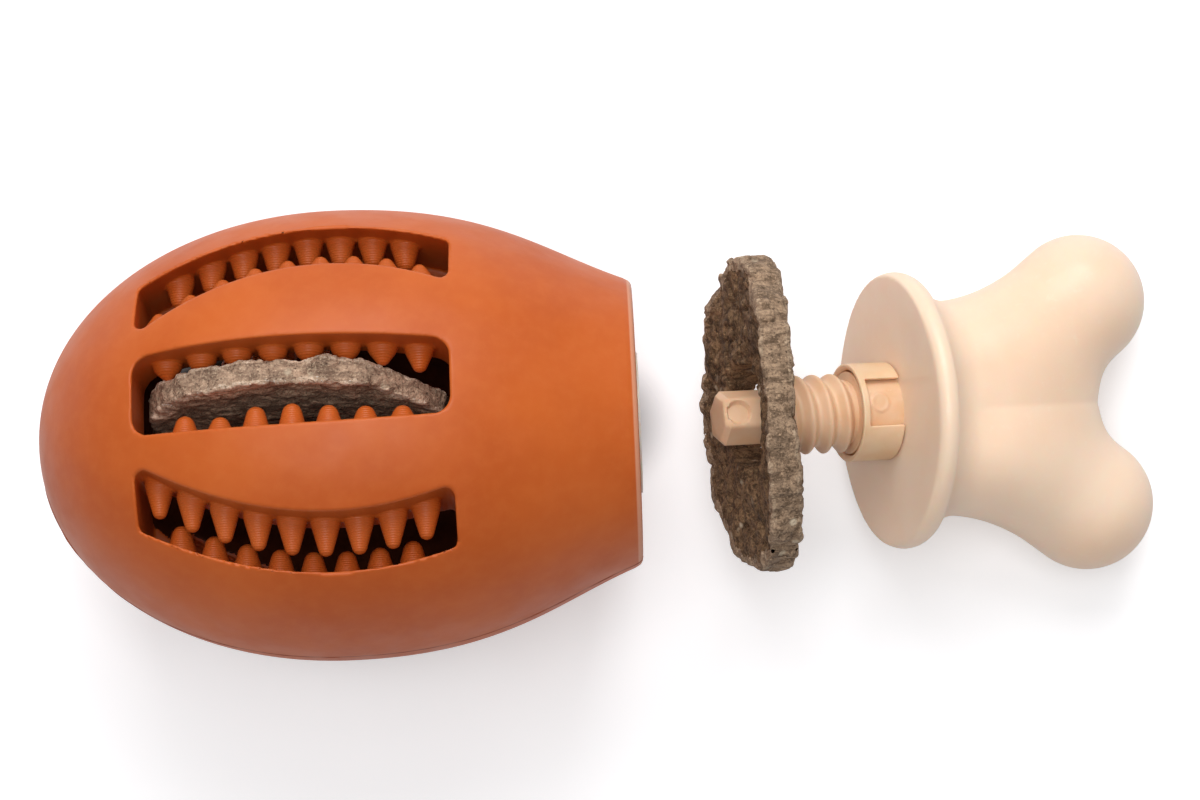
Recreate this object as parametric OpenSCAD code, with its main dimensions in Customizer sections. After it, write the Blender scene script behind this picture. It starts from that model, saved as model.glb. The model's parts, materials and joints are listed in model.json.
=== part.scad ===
// Rubber chew toy: a slotted rubber barrel that holds a slice of treat between soft
// teeth, and a bone-shaped handle whose threaded stud carries a ring of treat and
// screws into the barrel's mouth. The handle lies unscrewed in front of the mouth.
// +X runs along the barrel towards the handle and +Z is up. The origin is at the
// middle of the whole toy's box, on the surface that it lies on.

/* [Shell] */
// Length of the shell from its closed end to its mouth
shell_len = 110; // [106:1:114]
// Radius of the shell at its widest place
shell_r = 41.5; // [40.5:0.5:43]
// Distance from the closed end to the widest place
belly_at = 56; // [54:1:58]
// Radius of the mouth, over the rounded lip
mouth_r = 26.6; // [25.5:0.1:27.5]
// Radius of the lip's rounding
lip_r = 1.5; // [1:0.1:2]
// Reach of the belly's round curve towards the mouth
belly_reach = 28; // [26:0.5:30]
// Reach of the mouth's straighter curve back towards the belly
mouth_reach = 16; // [14:0.5:18]
// Widening of the shell over the mouth's reach
mouth_flare = 5.8; // [5:0.1:6.6]
// Widening of the shell over the lip's rounding
lip_flare = 0.2; // [0:0.05:0.3]
// Thickness of the rubber round the belly
wall = 11; // [10.5:0.25:11.5]
// Thickness of the rubber at the closed end
end_wall = 12.5; // [11:0.5:14]
// Length of the shell's end, which is moulded in one with the belly
end_len = 38; // [34:1:42]
// Length of the shell round its mouth, which is moulded in one with the belly
mouth_len = 46; // [42:1:50]
// Roll of the slots about the shell's axis, in degrees
roll = 15; // [12:1:18]

/* [Slots] */
// Distance from the closed end to the near end of every slot
slot_start = 21.8; // [21:0.2:22.4]
// Distance from the mouth to the far end of every slot
slot_to_mouth = 32.4; // [31:0.2:32.8]
// Half the centre slot's width at its near end
centre_near = 6.95; // [6.6:0.05:7.3]
// Half the centre slot's width at its middle
centre_mid = 7.85; // [7.5:0.05:8.2]
// Half the centre slot's width at its far end
centre_far = 6.6; // [6.3:0.05:7]
// Radius of the centre slot's corners
centre_corner = 3.2; // [2.5:0.1:3.4]
// Width of the curved side slots
side_w = 9; // [8.8:0.1:9.6]
// Shift of a side slot's near end, from halfway between the centre slot and the shell's side
side_near = -7.8; // [-8.4:0.1:-7]
// Shift of a side slot's middle, from that same halfway line
side_mid = 1.8; // [1.2:0.1:2.2]
// Shift of a side slot's far end, from that same halfway line
side_far = -1.6; // [-2.2:0.1:-1]
// Radius of the side slots' corners
side_corner = 1.5; // [0.8:0.1:2]
// Distance from the axis at which the slots' straight cuts end
slot_floor = 8; // [6:0.5:10]

/* [Teeth] */
// Radius of a tooth where it leaves the wall
tooth_root_r = 2.7; // [2.4:0.05:2.75]
// Radius of a tooth's rounded tip
tooth_tip_r = 1.35; // [1.1:0.05:1.5]
// Depth of the tooth rows under the outer surface
tooth_depth = 8; // [7.5:0.1:9]
// Extra depth of the rows on the side slots' outer walls
tooth_stagger = 2; // [1.6:0.1:2.4]
// Length of the teeth on the side slots' inner walls
tooth_long = 6.3; // [5.8:0.1:6.4]
// Length of the teeth on the side slots' outer walls
tooth_short = 5.2; // [4.8:0.1:5.4]
// Least distance from a slot's end to the middle of the first tooth
row_end = 5; // [4.6:0.1:5.05]
// Distance between teeth in a side slot
side_pitch = 5.7; // [5.5:0.05:5.8]
// Distance between teeth in the centre slot
centre_pitch = 6.2; // [5.8:0.1:6.4]
// Length of the teeth in the centre slots, where no slice shortens them
tooth_centre = 6; // [5.5:0.1:6.2]
// Depth that a tooth's root is sunk into its wall
tooth_sink = 0.5; // [0.3:0.1:1]

/* [Threaded insert] */
// Outer radius of the insert in the mouth
insert_r = 13; // [12:0.25:14]
// Radius of the rib that anchors it in the rubber
insert_rib_r = 16; // [15:0.5:17]
// Length of the rib along the axis
insert_rib_len = 4; // [3:0.5:5]
// Distance from the mouth to the rib
insert_rib_at = 9; // [8:0.5:10]
// Length of the insert
insert_len = 21; // [19:0.5:22]
// Distance that its face stands out of the rubber
insert_proud = 0.5; // [0.3:0.1:0.8]
// Radius of the wide lead-in that the collar enters
socket_r = 9.7; // [9.6:0.1:10]
// Depth of the lead-in
socket_deep = 9; // [8.5:0.25:9.5]

/* [Stud and collar] */
// Crest radius of the stud's rounded thread
crest_r = 7.5; // [7.3:0.05:7.6]
// Root radius of the stud's rounded thread
root_r = 6.1; // [6:0.05:6.3]
// Pitch of the thread
pitch = 3.6; // [3.2:0.1:4]
// Clearance all round between the stud's thread and the insert's
thread_gap = 0.2; // [0.15:0.01:0.3]
// Length of the collar, which is where the thread begins
collar_len = 8.6; // [8:0.1:9]
// Length of the thread
thread_len = 15.8; // [15:0.1:16.5]
// Length of the hexagonal tip
hex_len = 10; // [9:0.5:11]
// Radius of the hexagonal tip over its corners
hex_r = 5.36; // [5:0.05:5.6]
// Chamfer at the end of the tip
hex_chamfer = 0.9; // [0.5:0.1:1.2]
// Turn of the hexagon and of the collar's windows about the stud, in degrees
stud_turn = 13; // [5:1:20]
// Distance from the tip's end to the middle of the round dimple in its upper flat
dimple_at = 2.75; // [2.5:0.05:3.5]
// Radius of the dimple
dimple_r = 2.25; // [1.8:0.05:2.4]
// Depth of the dimple
dimple_deep = 0.6; // [0.3:0.1:0.8]
// Radius of the stud's plain shank under the collar
shank_r = 7.8; // [7.7:0.05:7.9]
// Radius of the stud's root inside the handle
stud_root_r = 7; // [6:0.25:8]
// Length of the stud's root inside the handle
stud_root_len = 14; // [12:0.5:16]
// Outer radius of the collar
collar_r = 9.3; // [9.2:0.05:9.4]
// Inner radius of the collar, which slides over the thread
collar_bore = 8.1; // [8:0.05:8.2]
// Width of the collar's closed rim, beyond the windows that are open towards the handle
collar_rim = 1.3; // [1:0.1:1.6]
// Width of the collar's windows across the stud
window_w = 9; // [8:0.25:10]

/* [Bone handle] */
// Radius of the flange that clamps the ring
flange_r = 25.8; // [25:0.1:26.5]
// Radius of the flange's rounded rim
rim_r = 2; // [1.6:0.1:2.2]
// Half the neck's width
neck_w = 20.4; // [19.5:0.1:21]
// Half the neck's thickness
neck_t = 13.2; // [12.5:0.1:13.6]
// Distance from the flange's face to the narrow stretch of the neck
neck_at = 12; // [11:0.5:13]
// Length of the narrow stretch of the neck, up to where the arms fork
neck_len = 12; // [10:0.5:13]
// Radius of the knobs
knob_r = 12.9; // [12.4:0.1:13.1]
// Distance from the flange's face to the middle of the knobs
knob_at = 40.8; // [39.4:0.2:42]
// Distance of the knobs' middles from the handle's axis
knob_off = 19.6; // [19:0.1:20.4]
// Distance from the flange's face to the valley between the knobs
valley_at = 42.4; // [41.8:0.1:43.4]
// Radius of the valley's bottom
valley_r = 6; // [5:0.5:7]
// Half the thickness of the web between the two lobes
web_t = 10; // [8:0.5:11]

/* [Treats] */
// Height of the slice, most of which lies inside the shell
slice_h = 53.4; // [50:0.2:54]
// Room between the slice and each end of its slot
slice_play = 1.2; // [0.9:0.1:2.5]
// Thickness of the slice
slice_t = 5; // [4.4:0.1:5.4]
// Sideways bow of the slice, which is higher at its middle than at its two ends
slice_bow = 4; // [3:0.25:4.5]
// Offset of the slice's bowed middle towards the slot's back wall
slice_off = 2.2; // [1.8:0.1:2.4]
// Distance from the slot's middle to the slice's middle, along the shell
slice_along = 0.45; // [0:0.05:0.8]
// Depth of the slice's upper edge under the shell's outer surface
slice_deep = 5.05; // [4:0.05:6]
// Width of the ring on the stud, across the toy
ring_w = 60.4; // [56:0.2:62]
// Height of the ring on the stud
ring_h = 46; // [42:0.5:50]
// Thickness of the ring
ring_t = 6.5; // [6:0.1:7]
// Radius of the ring's hole
ring_hole = 9.7; // [9.6:0.1:10.5]
// Rounding of the ring's edges
ring_edge = 1.6; // [1:0.1:2]
// Number of waves in the ring's outline
ring_waves = 4; // [2:1:7]
// Depth of those waves, as a share of the ring's radius
wave_deep = 0.02; // [0:0.005:0.03]

/* [Fits and places] */
// Gap between pieces that move past each other
run_gap = 0.3; // [0.25:0.01:0.4]
// Distance from the mouth to the flange's face while the handle lies unscrewed
park_x = 47.9; // [46:0.1:52]
// Distance from the flange's face to the ring's middle while the handle lies unscrewed
ring_at = 24.4; // [23:0.1:26]

/* [Hidden] */
$fn = 64;
rubber_colour = [0.78, 0.38, 0.18];
stud_colour = [0.94, 0.79, 0.60];
bone_colour = [0.97, 0.84, 0.73];
treat_colour = [0.42, 0.34, 0.28];

// The handle leans on its flange's rim and on both knobs, and this is its tilt
lean_across = flange_r - rim_r;
lean_along = knob_at - rim_r;
tilt = acos((knob_r - rim_r) / norm([lean_across, lean_along])) - atan2(lean_along, lean_across);
park_z = rim_r * (1 + sin(tilt)) + lean_across * cos(tilt);
toy_len = shell_len + park_x + knob_at * cos(tilt) + knob_r;
left_x = -toy_len / 2;
mouth_x = left_x + shell_len;
cavity_r = shell_r - wall;
insert_end = insert_len - insert_proud;
stud_len = collar_len + thread_len + hex_len;
// Flange to mouth when the ring has just come up to the insert, and when it is screwed home
ring_home = insert_proud + run_gap + ring_t / 2 + ring_at;
advance = ring_at - ring_t / 2 - run_gap;
home_x = ring_home - advance;
thread_phase = 360 * (advance + home_x) / pitch;
eccentric = (crest_r - root_r) / 2;
thread_mid_r = (crest_r + root_r) / 2;
slot_end = shell_len - slot_to_mouth;
slot_len = slot_end - slot_start;
slot_mid = (slot_start + slot_end) / 2;
halfway = (centre_mid + shell_r) / 2;
slice_len = slot_len - 2 * slice_play;
slice_up = shell_r - slice_deep - slice_h / 2;
slice_x = slot_mid + slice_along;
slice_bend = (pow(slice_len / 2, 2) + pow(slice_bow, 2)) / (2 * slice_bow);

function unit(v) = v / norm(v);
// A cubic curve through four control points
function bezier(p, t) = pow(1 - t, 3) * p[0] + 3 * t * pow(1 - t, 2) * p[1]
    + 3 * t * t * (1 - t) * p[2] + pow(t, 3) * p[3];
// The outline's corners, each rounded to its own radius by a short arc
function rounded(points, radii, steps = 5) = [for (i = [0:len(points) - 1])
    let (b = points[i], r = radii[i],
         u = unit(points[(i + len(points) - 1) % len(points)] - b),
         v = unit(points[(i + 1) % len(points)] - b),
         half = acos(u * v) / 2, centre = b + unit(u + v) * r / sin(half),
         from = b + u * r / tan(half) - centre, to = b + v * r / tan(half) - centre)
    each r == 0 ? [b] : [for (k = [0:steps]) centre + r * unit(from * (steps - k) + to * k)]];

// Outer outline of the shell as [distance from the closed end, radius]
function shell_left(a) = let (power = 2 / 2.06)
    [belly_at * (1 - pow(cos(a), power)), shell_r * pow(sin(a), power)];
flare = [[belly_at, shell_r], [belly_at + belly_reach, shell_r],
    [shell_len - mouth_reach, mouth_r + mouth_flare], [shell_len - lip_r, mouth_r + lip_flare]];
shell_outline = concat(
    [for (a = [0:7.5:82.5]) shell_left(a)],
    [for (i = [0:12]) bezier(flare, i / 12)],
    [for (a = [22.5:22.5:90]) [shell_len - lip_r + lip_r * sin(a), mouth_r - lip_r + lip_r * cos(a)]]);
function shell_r_at(x) = lookup(x, shell_outline);

// Outline of the hollow: half an ellipse from the closed end, then another that runs into the insert
cavity_near = belly_at - end_wall;
cavity_far = (shell_len - insert_end - belly_at) / sqrt(1 - pow((socket_r + 0.5) / cavity_r, 2));
cavity_end_x = shell_len - insert_end;
function cavity_r_at(x) = x < belly_at
    ? cavity_r * sqrt(max(0, 1 - pow((belly_at - x) / cavity_near, 2)))
    : cavity_r * sqrt(1 - pow((x - belly_at) / cavity_far, 2));
cavity_outline = concat(
    [for (a = [0:9:81]) [belly_at - cavity_near * cos(a), cavity_r * sin(a)]],
    [for (i = [0:8]) let (x = belly_at + (cavity_end_x - belly_at) * sin(i * 90 / 8)) [x, cavity_r_at(x)]],
    [[cavity_end_x + 1, cavity_r_at(cavity_end_x)], [cavity_end_x + 1, 0]]);

// A parabola along the slots, through its values at their near end, middle and far end
function along_slot(x, near, mid, far) = let (t = (x - slot_start) / slot_len)
    near * (1 - t) * (1 - 2 * t) + mid * 4 * t * (1 - t) + far * t * (2 * t - 1);
function centre_half(x) = along_slot(x, centre_near, centre_mid, centre_far);
function side_line(x) = halfway + along_slot(x, side_near, side_mid, side_far);
function side_slope(x) = atan(side_line(x + 0.5) - side_line(x - 0.5));
// Height of a side slot's wall, the given distance out from its middle line
function side_wall(x, out) = side_line(x) + out / cos(side_slope(x));
slot_stations = [for (i = [0:10]) slot_start + slot_len * i / 10];
function ends_rounded(n, r) = [for (i = [0:n - 1]) i % (n / 2) == 0 || (i + 1) % (n / 2) == 0 ? r : 0];

// Places things in the shell: x from its closed end, z along the slots' straight cuts
module in_shell() {
    translate([left_x, 0, shell_r]) rotate([-roll, 0, 0]) children();
}

// Places things on the mouth's axis, with z running into the shell
module in_mouth() {
    translate([mouth_x, 0, shell_r]) rotate([0, -90, 0]) children();
}

// Places things on the handle, with z running from the flange's face to the stud's tip
module on_handle() {
    translate([mouth_x + park_x, 0, park_z]) rotate([0, tilt - 90, 0]) children();
}

module spun_along_x(outline) {
    rotate([90, 0, 90]) rotate_extrude() polygon(outline);
}

module centre_slot_shape() {
    outline = concat(
        [for (x = slot_stations) [x, -centre_half(x)]],
        [for (i = [10:-1:0]) [slot_stations[i], centre_half(slot_stations[i])]]);
    polygon(rounded(outline, ends_rounded(len(outline), centre_corner)));
}

module side_slot_shape() {
    outline = concat(
        [for (x = slot_stations) [x, side_wall(x, -side_w / 2)]],
        [for (i = [10:-1:0]) [slot_stations[i], side_wall(slot_stations[i], side_w / 2)]]);
    polygon(rounded(outline, ends_rounded(len(outline), side_corner)));
}

module slot_cuts() {
    for (up = [0, 1]) mirror([0, 0, up]) translate([0, 0, slot_floor]) {
        linear_extrude(shell_r) centre_slot_shape();
        for (back = [0, 1]) mirror([0, back, 0]) linear_extrude(shell_r) side_slot_shape();
    }
}

// Outside of the insert, which is also the pocket moulded round it
module insert_body(face) {
    cylinder(r = insert_r, h = insert_end);
    translate([0, 0, -face]) cylinder(r = insert_r, h = face + 1);
    translate([0, 0, insert_rib_at]) cylinder(r = insert_rib_r, h = insert_rib_len);
}

module rubber_shell() {
    color(rubber_colour) difference() {
        in_shell() difference() {
            spun_along_x([for (p = concat(shell_outline, [[shell_len, 0]])) [p[1], p[0]]]);
            spun_along_x([for (p = cavity_outline) [p[1], p[0]]]);
            slot_cuts();
        }
        in_mouth() insert_body(1);
    }
}

// One of the three lengths of the shell, which touch face to face
module shell_length(from, to) {
    reach = shell_r + 1;
    intersection() {
        rubber_shell();
        in_shell() translate([from, -reach, -reach]) cube([to - from, 2 * reach, 2 * reach]);
    }
}

// One soft tooth along z, with its root sunk below z = 0
module tooth(length, sink) {
    cone_len = length - tooth_tip_r;
    translate([0, 0, -sink]) cylinder(r = tooth_root_r, h = sink, $fn = 32);
    cylinder(r1 = tooth_root_r, r2 = tooth_tip_r, h = cone_len, $fn = 32);
    translate([0, 0, cone_len]) sphere(r = tooth_tip_r, $fn = 32);
}

// Depth of a root in a side slot's sloping wall, so that all of its rim is sunk
function side_sink(x) = tooth_sink + tooth_root_r * tan(abs(side_slope(x)));

// Teeth on a wall at y = wall(x) that point away from the wall, under the outer surface
module tooth_at(x, y, points_up, length, sink, deeper) {
    z = sqrt(pow(shell_r_at(x), 2) - y * y) - tooth_depth - deeper;
    translate([x, y, z]) rotate([points_up ? -90 : 90, 0, 0]) tooth(length, sink);
}

// Place of the bowed slice's middle surface between the slot's walls
function slice_middle(x) = slice_off - slice_bend + sqrt(pow(slice_bend, 2) - pow(x - slice_x, 2));

// Places along the slot of a row of teeth, which is centred on the slot, less so many teeth
function row(tooth_pitch, less) =
    let (count = 1 + floor((slot_len - 2 * row_end) / tooth_pitch) - less)
    [for (i = [0:count - 1]) slot_mid + (i - (count - 1) / 2) * tooth_pitch];

// The rows in a centre slot, which reach as far as the slice lets them if there is one
module centre_teeth(with_slice) {
    reach = slice_t / 2 + run_gap;
    for (x = row(centre_pitch, 0)) {
        free = with_slice ? centre_half(x) - slice_middle(x) - reach : tooth_centre;
        tooth_at(x, centre_half(x), false, min(free, tooth_centre), tooth_sink, 0);
    }
    for (x = row(centre_pitch, 1)) {
        free = with_slice ? centre_half(x) + slice_middle(x) - reach : tooth_centre;
        tooth_at(x, -centre_half(x), true, min(free, tooth_centre), tooth_sink, 0);
    }
}

// The rows in one side slot: long teeth on its inner wall, short ones on its outer wall
module side_teeth() {
    for (x = row(side_pitch, 0))
        tooth_at(x, side_wall(x, -side_w / 2), true, tooth_long, side_sink(x), 0);
    for (x = row(side_pitch, 1))
        tooth_at(x, side_wall(x, side_w / 2), false, tooth_short, side_sink(x), tooth_stagger);
}

module teeth_group(base, front, side) {
    color(rubber_colour) in_shell() mirror([0, 0, base ? 1 : 0]) mirror([0, front ? 1 : 0, 0]) {
        if (side) side_teeth();
        else centre_teeth(!base);
    }
}

// The thread is a round bar that runs off its own axis in a helix
module thread_form(grow, length, turn) {
    rotate([0, 0, turn])
        linear_extrude(length, twist = -360 * length / pitch, slices = ceil(14 * length / pitch), $fn = 32)
        translate([eccentric, 0]) circle(r = thread_mid_r + grow, $fn = 32);
}

module threaded_insert() {
    thread_from = socket_deep - insert_proud;
    bore_len = insert_end - thread_from + 1;
    color(stud_colour) in_mouth() difference() {
        insert_body(insert_proud);
        translate([0, 0, -insert_proud - 1]) cylinder(r = socket_r, h = socket_deep + 1);
        translate([0, 0, thread_from - 0.5])
            thread_form(thread_gap, bore_len + 0.5, thread_phase + 360 * (thread_from - 0.5) / pitch);
    }
}

module threaded_stud() {
    color(stud_colour) on_handle() difference() {
        union() {
            translate([0, 0, -stud_root_len]) cylinder(r = stud_root_r, h = stud_root_len);
            cylinder(r = shank_r, h = collar_len - run_gap);
            cylinder(r = root_r - 0.3, h = stud_len - hex_len + 0.5);
            translate([0, 0, collar_len - 0.5])
                thread_form(0, thread_len + 0.5, 360 * (collar_len - 0.5) / pitch);
            rotate([0, 0, stud_turn + 30]) {
                translate([0, 0, stud_len - hex_len])
                    cylinder(r = hex_r, h = hex_len - hex_chamfer, $fn = 6);
                translate([0, 0, stud_len - hex_chamfer])
                    cylinder(r1 = hex_r, r2 = hex_r - hex_chamfer, h = hex_chamfer, $fn = 6);
            }
        }
        rotate([0, 0, stud_turn]) translate([hex_r * cos(30) - dimple_deep, 0, stud_len - dimple_at])
            rotate([0, 90, 0]) cylinder(r = dimple_r, h = dimple_deep + 1);
    }
}

module stud_collar() {
    color(stud_colour) on_handle() difference() {
        translate([0, 0, run_gap]) cylinder(r = collar_r, h = collar_len - run_gap);
        cylinder(r = collar_bore, h = collar_len + 1);
        rotate([0, 0, stud_turn]) for (side = [0, 180]) rotate([0, 0, side])
            translate([collar_bore / 2, -window_w / 2, 0])
            cube([collar_r, window_w, collar_len - collar_rim]);
    }
}

module bone_handle() {
    arm_from = neck_at + neck_len;
    arm_y = neck_w - neck_t;
    splay = atan2(knob_off - arm_y, knob_at - arm_from);
    arm_len = norm([knob_at - arm_from, knob_off - arm_y]);
    flare_len = neck_at - 2 * rim_r;
    flare_out = lean_across - 0.75 * rim_r - neck_t;
    side_from = 1.5 * rim_r;
    side_len = neck_at + rim_r - side_from;
    side_out = flange_r - 0.4 * rim_r - neck_w;
    middle_r = neck_t - 1;
    color(bone_colour) on_handle() mirror([0, 0, 1]) difference() {
        union() {
            // Flange with a rounded rim and a hollow flare down to the neck
            rotate_extrude() polygon(concat(
                [[0, 0]],
                [for (a = [-90:22.5:90]) [lean_across + rim_r * cos(a), rim_r + rim_r * sin(a)]],
                [for (a = [0:15:90]) [neck_t + flare_out * (1 - sin(a)),
                    2 * rim_r + flare_len * (1 - cos(a))]],
                [[0, neck_at]]));
            // Oval neck, whose two sides widen to the flange's rim
            translate([0, 0, rim_r]) linear_extrude(arm_from - rim_r) {
                for (side = [-1, 1]) translate([0, side * arm_y]) circle(r = neck_t);
                square([2 * neck_t, 2 * arm_y], center = true);
            }
            for (side = [-1, 1]) translate([0, side * arm_y, side_from]) rotate_extrude() polygon(concat(
                [[0, 0]],
                [for (t = [0:0.125:1]) [neck_t + 0.05 + side_out * pow(1 - t, 2), side_len * t]],
                [[0, side_len]]));
            // Middle swelling that ends in the valley between the knobs
            translate([0, 0, neck_at]) rotate_extrude() polygon(concat([[0, 0]],
                [for (a = [0:15:90]) [middle_r * cos(a), valley_at - neck_at - middle_r * (1 - sin(a))]]));
            // Web between the arms, with a hollow edge round the valley
            rotate([90, 0, 90]) linear_extrude(2 * web_t, center = true) polygon(concat(
                [[-knob_off, knob_at], [-arm_y, arm_from], [arm_y, arm_from], [knob_off, knob_at]],
                [for (y = [8:-2:-8]) [y, valley_at + y * y / (2 * valley_r)]]));
            // Arms that end in the knobs
            for (side = [-1, 1]) {
                translate([0, side * arm_y, arm_from]) rotate([-side * splay, 0, 0]) {
                    sphere(r = neck_t - 0.1);
                    cylinder(r1 = neck_t - 0.2, r2 = knob_r - 0.2, h = arm_len);
                }
                translate([0, side * knob_off, knob_at]) sphere(r = knob_r);
            }
        }
        translate([0, 0, -1]) cylinder(r = stud_root_r, h = stud_root_len + 1);
    }
}

// The ring's wavy outline, drawn in by inset at height z
function ring_outline(inset, z) = [for (a = [0:7.5:352.5])
    let (wave = 1 - wave_deep * (1 - sin(ring_waves * a)))
    [(ring_h / 2 * wave - inset) * cos(a), (ring_w / 2 * wave - inset) * sin(a), z]];

// The ring without its hole: a slab with rounded edges and its broad faces square to z
module ring_slab() {
    layers = concat(
        [for (a = [0:30:90]) [ring_edge * (1 - sin(a)), ring_edge * (1 - cos(a))]],
        [for (a = [90:-30:0]) [ring_edge * (1 - sin(a)), ring_t - ring_edge * (1 - cos(a))]]);
    outlines = [for (layer = layers) ring_outline(layer[0], layer[1])];
    n = len(outlines[0]);
    m = len(outlines);
    sides = [for (j = [0:m - 2], i = [0:n - 1]) let (k = (i + 1) % n)
        each [[j * n + i, (j + 1) * n + i, (j + 1) * n + k], [j * n + i, (j + 1) * n + k, j * n + k]]];
    translate([0, 0, -ring_t / 2]) polyhedron([for (outline = outlines) each outline],
        concat(sides, [[for (i = [0:n - 1]) i], [for (i = [n - 1:-1:0]) (m - 1) * n + i]]));
}

slice_outline = [for (a = [0:3.75:356.25]) [slice_len / 2 * cos(a), slice_h / 2 * sin(a)]];

// A round slice that is bowed sideways, so that its edge shows as a shallow arch in the slot
module treat_slice() {
    color(treat_colour) in_shell() intersection() {
        translate([slice_x, 0, slice_up]) rotate([90, 0, 0])
            linear_extrude(2 * centre_mid, center = true) polygon(slice_outline);
        translate([slice_x, slice_off - slice_bend, slice_up - slice_h / 2]) linear_extrude(slice_h)
            difference() {
                circle(r = slice_bend + slice_t / 2, $fn = 180);
                circle(r = slice_bend - slice_t / 2, $fn = 180);
            }
    }
}

module treat_ring() {
    color(treat_colour) on_handle() translate([0, 0, ring_at]) difference() {
        ring_slab();
        cylinder(r = ring_hole, h = 2 * ring_t, center = true);
    }
}

shell_length(-1, end_len);  // shell_end
shell_length(end_len, shell_len - mouth_len);  // shell_belly
shell_length(shell_len - mouth_len, shell_len + 1);  // shell_mouth
teeth_group(false, false, false);  // teeth_top_centre
teeth_group(false, true, true);  // teeth_top_front
teeth_group(false, false, true);  // teeth_top_back
teeth_group(true, false, false);  // teeth_base_centre
teeth_group(true, true, true);  // teeth_base_front
teeth_group(true, false, true);  // teeth_base_back
threaded_insert();
treat_slice();
treat_ring();
stud_collar();
threaded_stud();
bone_handle();
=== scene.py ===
"""Looks of a rubber chew toy: a slotted rubber barrel whose soft teeth grip a slice of dried
treat, and a bone-shaped handle whose threaded stud carries a ring of treat.

Shapes are worked out in millimetres. Most of them are signed distances, negative inside,
that surface_net() turns into meshes. The stud and the seam are lofted from rings of points.
"""
import json
import math

import bpy
import numpy as np
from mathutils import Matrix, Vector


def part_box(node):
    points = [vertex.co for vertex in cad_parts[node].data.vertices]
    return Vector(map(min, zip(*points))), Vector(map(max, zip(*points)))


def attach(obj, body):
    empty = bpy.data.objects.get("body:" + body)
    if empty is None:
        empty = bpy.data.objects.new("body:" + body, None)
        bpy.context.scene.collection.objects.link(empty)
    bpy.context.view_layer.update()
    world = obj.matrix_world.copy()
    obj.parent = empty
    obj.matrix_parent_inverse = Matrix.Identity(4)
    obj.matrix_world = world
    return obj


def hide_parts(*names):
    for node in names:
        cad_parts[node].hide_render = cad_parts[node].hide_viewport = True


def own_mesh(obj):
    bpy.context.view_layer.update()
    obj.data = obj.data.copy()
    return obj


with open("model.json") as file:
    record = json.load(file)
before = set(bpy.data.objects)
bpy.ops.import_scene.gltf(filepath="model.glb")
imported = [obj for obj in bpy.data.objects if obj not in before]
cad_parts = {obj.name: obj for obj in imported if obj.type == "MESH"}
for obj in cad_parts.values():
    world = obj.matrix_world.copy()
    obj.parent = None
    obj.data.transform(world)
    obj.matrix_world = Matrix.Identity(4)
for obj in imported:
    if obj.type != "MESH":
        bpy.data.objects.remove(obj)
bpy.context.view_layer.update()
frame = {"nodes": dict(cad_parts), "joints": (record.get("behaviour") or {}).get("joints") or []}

MM = 0.001
AXES = np.eye(3)

# The shell's own frame: u from its closed end, e across its slots, d along their straight cuts
ROLL = math.radians(15)
LENGTHS = ("shell_end", "shell_belly", "shell_mouth")
shell_low = np.min([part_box(length)[0] for length in LENGTHS], axis=0) / MM
shell_high = np.max([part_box(length)[1] for length in LENGTHS], axis=0) / MM
SHELL_R = (shell_high[2] - shell_low[2]) / 2
SHELL_LEN = shell_high[0] - shell_low[0]
SHELL_FROM = np.array([shell_low[0], 0, (shell_high[2] + shell_low[2]) / 2])
SHELL_AXES = np.array([[1, 0, 0],
                       [0, math.cos(ROLL), -math.sin(ROLL)],
                       [0, math.sin(ROLL), math.cos(ROLL)]])

# The handle's own frame: x up, y across, w from the flange's face to the stud's tip
twist = next(joint for joint in frame["joints"] if joint["name"] == "handle_twist")
TIPWARD = np.array(twist["axis"])
HANDLE_FROM = np.array(twist["pos_m"]) / MM
HANDLE_AXES = np.array([[TIPWARD[2], 0, -TIPWARD[0]], [0, 1, 0], TIPWARD])

# Camera: straight above the toy, with the barrel's axis rising slightly to the right
CAMERA_BEYOND_END = 103.34
CAMERA_Y = 4.46
CAMERA_UP = 596
CAMERA_TURN = -2.5
CAMERA_LENS = 90
CAMERA_SENSOR = 36

# Floor and lights; a light is a place, a size and a power
FLOOR_HALF = 4000
FLOOR_GLOW = 0.33
# Painted shadow on the floor under the barrel: the halves of its oval and its soft edge
PAINTED_SHADOW_HALVES = (50, 21)
PAINTED_SHADOW_EDGE = (0.9, 1.3)
WORLD_STRENGTH = 0.27
WINDOW_LIGHT = ((0, 900, 900), 800, 10.5)
OVERHEAD_LIGHT = ((-100, 100, 1300), 700, 6.6)

# Mesh steps, a quick one and a full one, and seeds of the noises
SHELL_STEPS = (0.8, 0.45)
SLICE_STEPS = (0.6, 0.36)
RING_STEPS = (0.6, 0.38)
COLLAR_STEPS = (0.2, 0.2)
BONE_STEPS = (0.8, 0.55)
SEAM_SEED = 5
SLICE_SEED = 21
RING_SEED = 33

# Shell: outline, hollow, slots and lip
BELLY_AT = 56
BELLY_POWER = 2 / 2.06
BELLY_REACH = 28
MOUTH_R = 26.6
MOUTH_REACH = 16
MOUTH_FLARE = 5.8
LIP_R = 1.5
# Where the painted highlight on the lip lies, in from the mouth
LIP_HIGHLIGHT_IN = 0.5
WALL = 11
END_WALL = 12.5
POCKET_R = 13.1
POCKET_DEEP = 20.5
POCKET_END_R = 10.2
SLOT_FROM = 21.8
SLOT_TO = 77.6
SLOT_FLOOR = 8
SLOT_EDGE = 0.35
CENTRE_HALF = (6.95, 7.85, 6.6)
CENTRE_CORNER = 3.2
SIDE_LINE = (16.87, 26.47, 23.07)
SIDE_HALF = 4.5
SIDE_CORNER = 1.5

# Flash along the parting line: a ridge, taller at the closed end, and a dark line beside it
SEAM_HALF = 0.2
SEAM_HIGH = 0.16
SEAM_UNEVEN = 0.07
SEAM_TAIL = 0.25
SEAM_SUNK = 0.1
SEAM_LINE_AT = 0.28

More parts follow.
